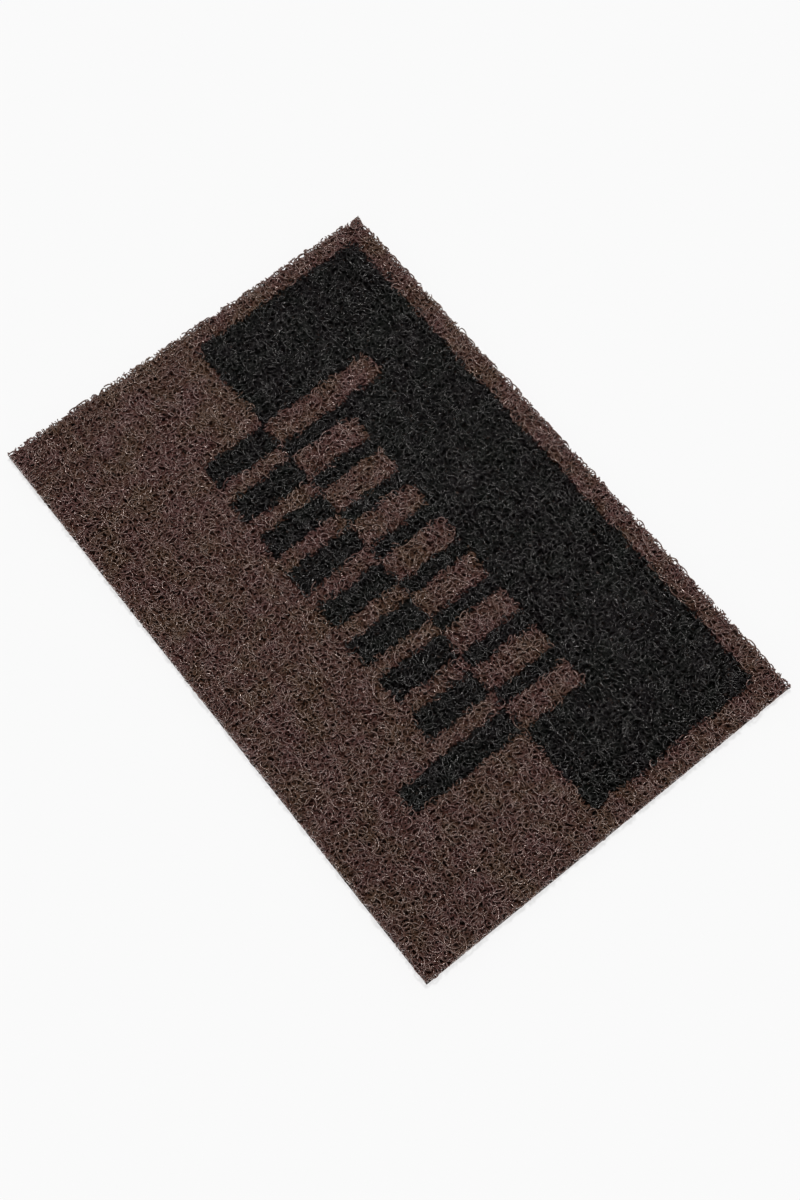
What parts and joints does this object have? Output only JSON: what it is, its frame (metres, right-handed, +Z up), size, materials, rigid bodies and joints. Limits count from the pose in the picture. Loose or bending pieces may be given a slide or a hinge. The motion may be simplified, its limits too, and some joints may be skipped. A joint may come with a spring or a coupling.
{
  "type": "door mat",
  "caption": "Rectangular door mat of looped vinyl coil, brown with an inlaid black panel and a row of bars that swap colour at the panel's edge, on a solid backing sheet.",
  "frame": {"origin": "centre of the mat on its underside, where it rests on the floor", "axes": "+X along the long edge, +Y across the mat towards the edge beside the black panel, +Z up through the pile"},
  "size_m": [0.6, 0.4, 0.012],
  "materials": {
    "backing_vinyl": "solid dark brown vinyl, matt with a fine grain",
    "brown_coil": "dark brown looped vinyl filament, satin",
    "black_coil": "charcoal black looped vinyl filament, satin"
  },
  "bodies": {
    "root": {"backing_sheet": "backing_vinyl", "brown_field": "brown_coil", "black_panel": "black_coil", "upper_bar_1": "brown_coil", "upper_bar_2": "brown_coil", "upper_bar_3": "brown_coil", "upper_bar_4": "brown_coil", "upper_bar_5": "brown_coil", "upper_bar_6": "brown_coil", "upper_bar_7": "brown_coil", "upper_bar_8": "brown_coil", "upper_bar_9": "brown_coil", "lower_bar_1": "black_coil", "lower_bar_2": "black_coil", "lower_bar_3": "black_coil", "lower_bar_4": "black_coil", "lower_bar_5": "black_coil", "lower_bar_6": "black_coil", "lower_bar_7": "black_coil", "lower_bar_8": "black_coil", "lower_bar_9": "black_coil"}
  },
  "joints": []
}
